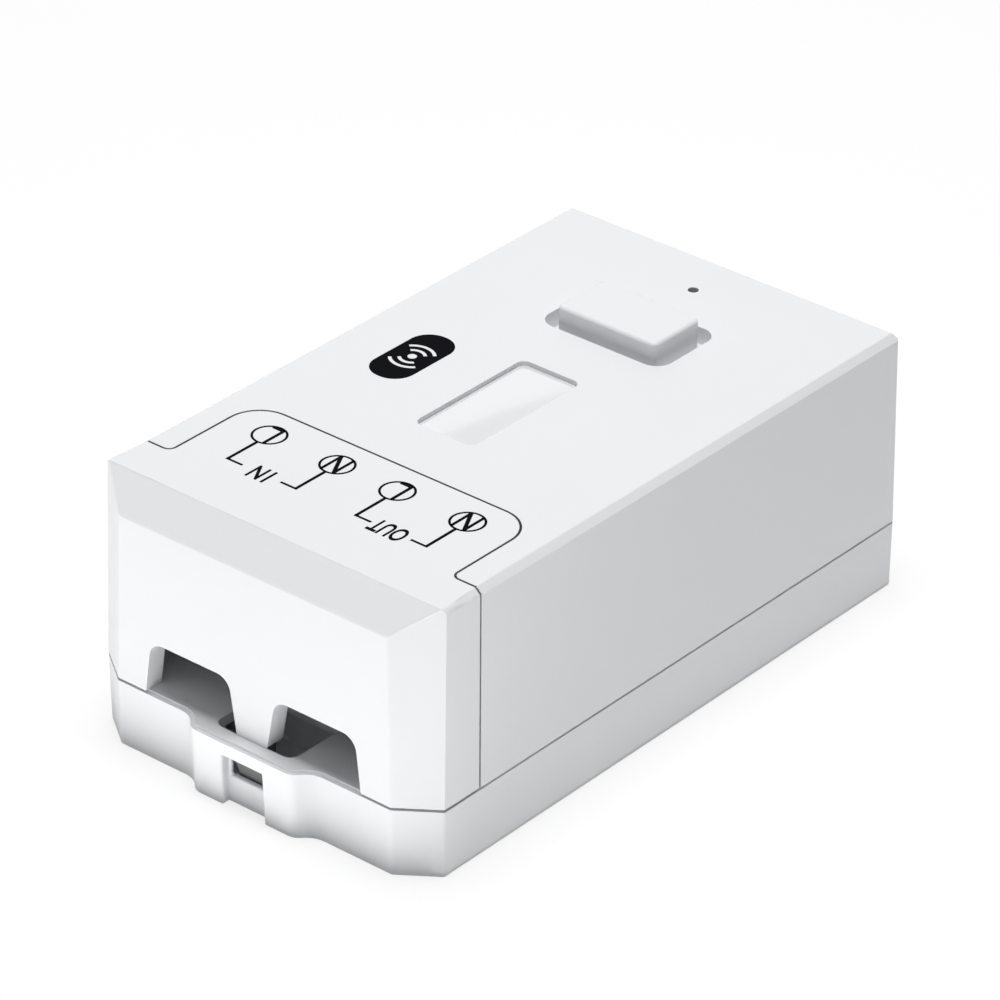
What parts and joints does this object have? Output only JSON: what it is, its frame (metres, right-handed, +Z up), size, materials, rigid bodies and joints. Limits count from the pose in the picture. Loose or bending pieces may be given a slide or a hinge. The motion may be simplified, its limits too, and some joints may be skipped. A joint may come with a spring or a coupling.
{
  "type": "radio receiver",
  "caption": "In-line wireless switching receiver with a clip-on terminal cover, push button and indicator window.",
  "frame": {"origin": "middle of the underside's bounding box, on the surface it lies on", "axes": "+Z up out of the top, +Y from the cable end towards the back, +X to the right seen from the cable end"},
  "size_m": [0.05, 0.0882, 0.0363],
  "materials": {
    "shell_white": "fine satin moulding",
    "button_white": "satin moulding",
    "lens_white": "polished, milky",
    "board_green": "solder mask",
    "black_plastic": "moulded",
    "switch_metal": "plain",
    "plunger_black": "moulded",
    "reset_plunger_red": "moulded",
    "terminal_grey": "glass-filled nylon",
    "cage_steel": "zinc plated",
    "screw_steel": "zinc plated",
    "contact_brass": "tin plated at the legs",
    "ferrite": "ground ferrite",
    "bobbin_yellow": "polyester tape",
    "capacitor_yellow": "box moulding",
    "can_black": "shrunk sleeve",
    "varistor_blue": "epoxy coated",
    "fuse_brown": "moulded",
    "choke_black": "shrunk sleeve",
    "led_white": "clear dome",
    "shroud_white": "moulded",
    "module_silver": "tinned can",
    "antenna_wire": "tinned wire",
    "case_screw_steel": "zinc plated"
  },
  "bodies": {
    "case": {"base_tray": "shell_white", "upper_housing": "shell_white", "window_lens": "lens_white", "button_switch": "switch_metal", "reset_switch": "switch_metal", "power_board": "board_green", "radio_board": "board_green", "board_header": "black_plastic", "terminal_block": "terminal_grey", "contact_bars": "contact_brass", "power_relay": "black_plastic", "transformer_core": "ferrite", "transformer_bobbin": "bobbin_yellow", "suppressor_capacitor": "capacitor_yellow", "smoothing_capacitors": "can_black", "varistor": "varistor_blue", "fuse": "fuse_brown", "filter_choke": "choke_black", "status_leds": "led_white", "light_shroud": "shroud_white", "radio_module": "module_silver", "control_chip": "black_plastic", "wire_antenna": "antenna_wire", "case_screws": "case_screw_steel", "power_board_screws": "screw_steel", "radio_board_screws": "screw_steel"},
    "cover": {"terminal_cover": "shell_white", "cover_latch": "shell_white"},
    "button": {"push_button": "button_white", "button_plunger": "plunger_black"},
    "reset": {"reset_plunger": "reset_plunger_red"},
    "screw_1": {"terminal_screw_1": "screw_steel"},
    "cage_1": {"clamp_cage_1": "cage_steel"},
    "screw_2": {"terminal_screw_2": "screw_steel"},
    "cage_2": {"clamp_cage_2": "cage_steel"},
    "screw_3": {"terminal_screw_3": "screw_steel"},
    "cage_3": {"clamp_cage_3": "cage_steel"},
    "screw_4": {"terminal_screw_4": "screw_steel"},
    "cage_4": {"clamp_cage_4": "cage_steel"}
  },
  "joints": [
    {"name": "cover_lift", "type": "slide", "parent": "case", "child": "cover", "axis": [0, 0, 1], "range_m": [0, 0.04], "deforming": ["cover_latch"]},
    {"name": "button_press", "type": "slide", "parent": "case", "child": "button", "axis": [0, 0, -1], "range_m": [0, 0.0005], "stiffness_N_per_m": 2000, "springref_m": -0.0005},
    {"name": "reset_press", "type": "slide", "parent": "case", "child": "reset", "axis": [0, 0, -1], "range_m": [0, 0.00025], "stiffness_N_per_m": 3000, "springref_m": -0.0003},
    {"name": "terminal_screw_1_turn", "type": "hinge", "parent": "case", "child": "screw_1", "pos_m": [-0.0145, -0.02325, 0.0229], "axis": [0, 0, -1], "range_deg": [0, 2160]},
    {"name": "clamp_cage_1_rise", "type": "slide", "parent": "case", "child": "cage_1", "axis": [0, 0, 1], "range_m": [0, 0.0036]},
    {"name": "terminal_screw_2_turn", "type": "hinge", "parent": "case", "child": "screw_2", "pos_m": [-0.0044, -0.02325, 0.0229], "axis": [0, 0, -1], "range_deg": [0, 2160]},
    {"name": "clamp_cage_2_rise", "type": "slide", "parent": "case", "child": "cage_2", "axis": [0, 0, 1], "range_m": [0, 0.0036]},
    {"name": "terminal_screw_3_turn", "type": "hinge", "parent": "case", "child": "screw_3", "pos_m": [0.0044, -0.02325, 0.0229], "axis": [0, 0, -1], "range_deg": [0, 2160]},
    {"name": "clamp_cage_3_rise", "type": "slide", "parent": "case", "child": "cage_3", "axis": [0, 0, 1], "range_m": [0, 0.0036]},
    {"name": "terminal_screw_4_turn", "type": "hinge", "parent": "case", "child": "screw_4", "pos_m": [0.0145, -0.02325, 0.0229], "axis": [0, 0, -1], "range_deg": [0, 2160]},
    {"name": "clamp_cage_4_rise", "type": "slide", "parent": "case", "child": "cage_4", "axis": [0, 0, 1], "range_m": [0, 0.0036]}
  ],
  "couplings": [
    {"joint": "terminal_screw_1_turn", "follows": "clamp_cage_1_rise", "rad_per_m": 10472},
    {"joint": "terminal_screw_2_turn", "follows": "clamp_cage_2_rise", "rad_per_m": 10472},
    {"joint": "terminal_screw_3_turn", "follows": "clamp_cage_3_rise", "rad_per_m": 10472},
    {"joint": "terminal_screw_4_turn", "follows": "clamp_cage_4_rise", "rad_per_m": 10472}
  ]
}
